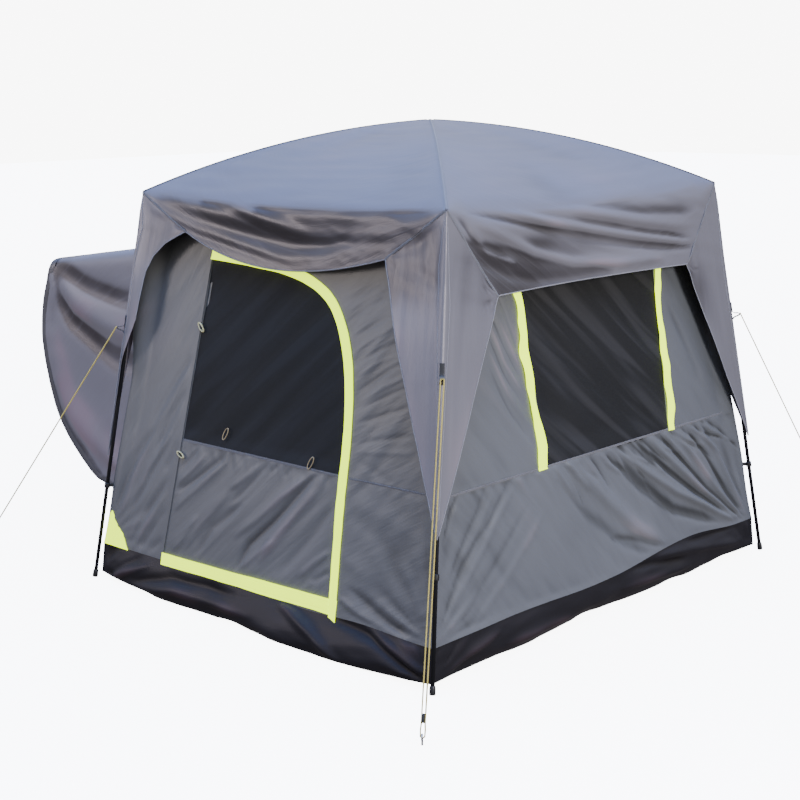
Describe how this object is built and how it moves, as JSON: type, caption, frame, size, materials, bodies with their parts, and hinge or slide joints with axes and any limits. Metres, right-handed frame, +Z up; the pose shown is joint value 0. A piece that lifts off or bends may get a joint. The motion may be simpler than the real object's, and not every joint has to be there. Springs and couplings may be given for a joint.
{
  "type": "car tailgate tent",
  "caption": "Pop-up cabin tent with a fly over steel legs, a zipped side door, mesh windows and a sleeve that reaches over an open car tailgate.",
  "frame": {"origin": "on the ground under the middle of the tent's floor, where its four leg lines are centred", "axes": "+Z up, -Y out through the door, +X out through the window, -X towards the car"},
  "size_m": [3.4946, 3.5239, 2.198],
  "materials": {
    "steel": "black powder coat",
    "peg_steel": "black painted wire",
    "black_plastic": "moulded",
    "fly_cloth": "coated polyester, satin",
    "wall_cloth": "coated polyester, satin",
    "tub_cloth": "heavy coated oxford cloth",
    "screen_mesh": "fine black insect mesh",
    "bright_trim": "bright yellow-green polyester",
    "black_webbing": "woven webbing",
    "guy_cord": "braided cord"
  },
  "bodies": {
    "root": {"apex_hub": "black_plastic", "back_screen": "screen_mesh", "back_strap_left": "bright_trim", "back_strap_right": "bright_trim", "back_valance": "fly_cloth", "back_wall": "wall_cloth", "car_valance": "fly_cloth", "car_wall": "wall_cloth", "door_sill": "wall_cloth", "door_valance": "fly_cloth", "door_wall_left": "wall_cloth", "door_wall_right": "wall_cloth", "door_wall_top": "wall_cloth", "door_welt": "wall_cloth", "door_zip_flap": "bright_trim", "floor_tub": "tub_cloth", "fly_roof": "fly_cloth", "guy_line_front": "guy_cord", "guy_line_left": "guy_cord", "guy_line_rear": "guy_cord", "guy_line_right": "guy_cord", "guy_peg_front": "peg_steel", "guy_peg_left": "peg_steel", "guy_peg_rear": "peg_steel", "guy_peg_right": "peg_steel", "guy_tab_front": "black_webbing", "guy_tab_left": "black_webbing", "guy_tab_rear": "black_webbing", "guy_tab_right": "black_webbing", "inner_ceiling": "wall_cloth", "leg_clip_front": "black_plastic", "leg_clip_left": "black_plastic", "leg_clip_rear": "black_plastic", "leg_clip_right": "black_plastic", "leg_front": "steel", "leg_left": "steel", "leg_panel_front": "fly_cloth", "leg_panel_left": "fly_cloth", "leg_panel_rear": "fly_cloth", "leg_panel_right": "fly_cloth", "leg_rear": "steel", "leg_right": "steel", "roof_pole_front": "steel", "roof_pole_left": "steel", "roof_pole_rear": "steel", "roof_pole_right": "steel", "sleeve_far_side": "wall_cloth", "sleeve_near_side": "wall_cloth", "sleeve_top": "wall_cloth", "window_screen": "screen_mesh", "window_strap_left": "bright_trim", "window_strap_right": "bright_trim", "window_valance": "fly_cloth", "window_wall": "wall_cloth"},
    "door": {"door_panel": "wall_cloth", "door_screen": "screen_mesh"}
  },
  "joints": [
    {"name": "door_swing", "type": "hinge", "parent": "root", "child": "door", "pos_m": [-0.632, -1.20715, 0.19], "axis": [0.0682, 0.204, 0.9766], "range_deg": [0, 100]}
  ]
}
